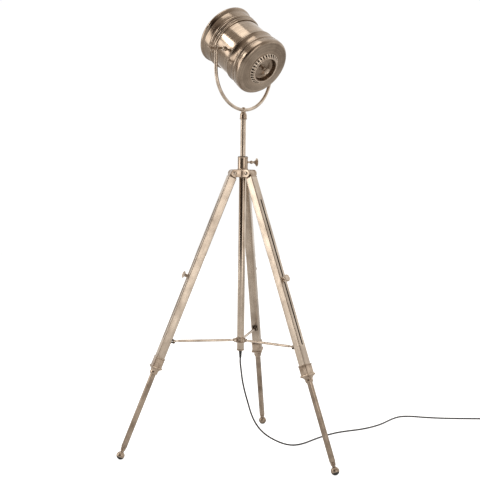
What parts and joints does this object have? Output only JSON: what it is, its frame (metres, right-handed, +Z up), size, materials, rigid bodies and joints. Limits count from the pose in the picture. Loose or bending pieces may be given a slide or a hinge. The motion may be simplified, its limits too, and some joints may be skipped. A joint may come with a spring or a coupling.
{
  "type": "tripod floor lamp",
  "caption": "Studio-style floor lamp: a drum spotlight head in a round-rod yoke, on a height-adjustable mast over a braced tripod with telescopic legs.",
  "frame": {"origin": "on the floor, under the axis of the centre column, midway between the three feet", "axes": "+Z up along the column; +Y towards the back leg; the light points to 148 degrees counted from +X towards +Y, 35 degrees above level"},
  "size_m": [1.3477, 1.1481, 1.5868],
  "materials": {
    "cast_nickel": "cast parts plated in antique nickel, satin with a warm brown patina",
    "bright_nickel": "turned and polished nickel",
    "polished_nickel": "polished nickel plate on steel tube and rod",
    "brushed_nickel": "square steel tube, brushed along its length, antique nickel",
    "spun_nickel": "spun sheet, antique nickel finish with a fine turned grain",
    "dark_steel": "blackened steel",
    "mirror_reflector": "spun and polished bowl",
    "lens_glass": "clear glass, slightly domed inside",
    "lamp_glass": "opal lamp glass",
    "black_bakelite": "moulded black, slight sheen",
    "black_nylon": "moulded black nylon",
    "black_rubber": "matte black rubber",
    "black_cord": "black flexible mains lead"
  },
  "bodies": {
    "stand": {"hub_casting": "cast_nickel", "leg_bolts": "bright_nickel", "mast_bush": "black_nylon", "column_tube": "polished_nickel", "column_end_cap": "cast_nickel", "cord_gland": "black_rubber", "cord": "black_cord", "cord_coil": "black_cord", "cord_tie": "black_nylon", "cord_tail": "black_cord", "plug": "black_rubber"},
    "thumb_screw": {"thumb_screw": "cast_nickel"},
    "mast": {"mast_tube": "polished_nickel"},
    "yoke": {"yoke_base": "cast_nickel", "yoke_bolt": "dark_steel", "yoke": "polished_nickel", "yoke_ball_nut": "bright_nickel"},
    "head": {"head_barrel": "spun_nickel", "front_bezel": "spun_nickel", "lens_glass": "lens_glass", "reflector": "mirror_reflector", "lampholder": "black_bakelite", "lamp_bulb": "lamp_glass", "rear_cap": "spun_nickel", "vent_ring": "spun_nickel", "rear_cup": "spun_nickel", "rear_knob": "bright_nickel", "pivot_studs": "bright_nickel"},
    "tilt_knob_left": {"tilt_knob_left": "cast_nickel"},
    "tilt_knob_right": {"tilt_knob_right": "cast_nickel"},
    "brace_collar": {"brace_collar": "cast_nickel", "brace_collar_pins": "bright_nickel"},
    "brace_back": {"brace_back": "polished_nickel"},
    "leg_back": {"leg_top_back": "cast_nickel", "upper_leg_back": "brushed_nickel", "brace_lug_back": "dark_steel", "ferrule_back": "cast_nickel"},
    "lower_leg_back": {"slider_back": "dark_steel", "lower_leg_back": "polished_nickel", "foot_glide_back": "black_rubber"},
    "leg_knob_back": {"leg_knob_back": "cast_nickel"},
    "brace_left": {"brace_left": "polished_nickel"},
    "leg_left": {"leg_top_left": "cast_nickel", "upper_leg_left": "brushed_nickel", "brace_lug_left": "dark_steel", "ferrule_left": "cast_nickel"},
    "lower_leg_left": {"slider_left": "dark_steel", "lower_leg_left": "polished_nickel", "foot_glide_left": "black_rubber"},
    "leg_knob_left": {"leg_knob_left": "cast_nickel"},
    "brace_right": {"brace_right": "polished_nickel"},
    "leg_right": {"leg_top_right": "cast_nickel", "upper_leg_right": "brushed_nickel", "brace_lug_right": "dark_steel", "ferrule_right": "cast_nickel"},
    "lower_leg_right": {"slider_right": "dark_steel", "lower_leg_right": "polished_nickel", "foot_glide_right": "black_rubber"},
    "leg_knob_right": {"leg_knob_right": "cast_nickel"}
  },
  "joints": [
    {"name": "mast_height", "type": "slide", "parent": "stand", "child": "mast", "axis": [0, 0, 1], "range_m": [-0.12, 0.3]},
    {"name": "thumb_screw_turn", "type": "hinge", "parent": "stand", "child": "thumb_screw", "pos_m": [0.01559, 0.009, 1.0392], "axis": [0.866, 0.5, 0], "continuous": true},
    {"name": "pan", "type": "hinge", "parent": "mast", "child": "yoke", "pos_m": [0, 0, 1.1902], "axis": [0, 0, 1], "range_deg": [-170, 170]},
    {"name": "tilt", "type": "hinge", "parent": "yoke", "child": "head", "pos_m": [0, 0, 1.4292], "axis": [0.5299, 0.848, 0], "range_deg": [-85, 45]},
    {"name": "tilt_knob_left_turn", "type": "hinge", "parent": "head", "child": "tilt_knob_left", "pos_m": [-0.07949, -0.12721, 1.4292], "axis": [-0.5299, -0.848, 0], "continuous": true},
    {"name": "tilt_knob_right_turn", "type": "hinge", "parent": "head", "child": "tilt_knob_right", "pos_m": [0.07949, 0.12721, 1.4292], "axis": [0.5299, 0.848, 0], "continuous": true},
    {"name": "leg_back_fold", "type": "hinge", "parent": "stand", "child": "leg_back", "pos_m": [0, 0.035, 0.9992], "axis": [-1, 0, 0], "range_deg": [0, 2.25]},
    {"name": "leg_left_fold", "type": "hinge", "parent": "stand", "child": "leg_left", "pos_m": [-0.03031, -0.0175, 0.9992], "axis": [0.5, -0.866, 0], "range_deg": [0, 2.25]},
    {"name": "leg_right_fold", "type": "hinge", "parent": "stand", "child": "leg_right", "pos_m": [0.03031, -0.0175, 0.9992], "axis": [0.5, 0.866, 0], "range_deg": [0, 2.25]},
    {"name": "brace_collar_slide", "type": "slide", "parent": "stand", "child": "brace_collar", "axis": [0, 0, 1], "range_m": [0, 0.0967]},
    {"name": "brace_back_fold", "type": "hinge", "parent": "brace_collar", "child": "brace_back", "pos_m": [0, 0.0222, 0.404], "axis": [-1, 0, 0], "range_deg": [0, 27.62]},
    {"name": "brace_left_fold", "type": "hinge", "parent": "brace_collar", "child": "brace_left", "pos_m": [-0.01923, -0.0111, 0.404], "axis": [0.5, -0.866, 0], "range_deg": [0, 27.62]},
    {"name": "brace_right_fold", "type": "hinge", "parent": "brace_collar", "child": "brace_right", "pos_m": [0.01923, -0.0111, 0.404], "axis": [0.5, 0.866, 0], "range_deg": [0, 27.62]},
    {"name": "lower_leg_back_slide", "type": "slide", "parent": "leg_back", "child": "lower_leg_back", "axis": [0, 0.3746, -0.9272], "range_m": [-0.27, 0.21]},
    {"name": "lower_leg_left_slide", "type": "slide", "parent": "leg_left", "child": "lower_leg_left", "axis": [-0.3244, -0.1873, -0.9272], "range_m": [-0.27, 0.21]},
    {"name": "lower_leg_right_slide", "type": "slide", "parent": "leg_right", "child": "lower_leg_right", "axis": [0.3244, -0.1873, -0.9272], "range_m": [-0.27, 0.21]},
    {"name": "leg_knob_back_turn", "type": "hinge", "parent": "lower_leg_back", "child": "leg_knob_back", "pos_m": [0, 0.20226, 0.6386], "axis": [0, 0.9272, 0.3746], "continuous": true},
    {"name": "leg_knob_left_turn", "type": "hinge", "parent": "lower_leg_left", "child": "leg_knob_left", "pos_m": [-0.17516, -0.10113, 0.6386], "axis": [-0.803, -0.4636, 0.3746], "continuous": true},
    {"name": "leg_knob_right_turn", "type": "hinge", "parent": "lower_leg_right", "child": "leg_knob_right", "pos_m": [0.17516, -0.10113, 0.6386], "axis": [0.803, -0.4636, 0.3746], "continuous": true}
  ],
  "couplings": [
    {"joint": "leg_left_fold", "follows": "leg_back_fold", "ratio": 1},
    {"joint": "leg_right_fold", "follows": "leg_back_fold", "ratio": 1},
    {"joint": "brace_collar_slide", "follows": "leg_back_fold", "m_per_rad": 2.4488},
    {"joint": "brace_back_fold", "follows": "leg_back_fold", "ratio": 12.231},
    {"joint": "brace_left_fold", "follows": "leg_back_fold", "ratio": 12.231},
    {"joint": "brace_right_fold", "follows": "leg_back_fold", "ratio": 12.231}
  ]
}
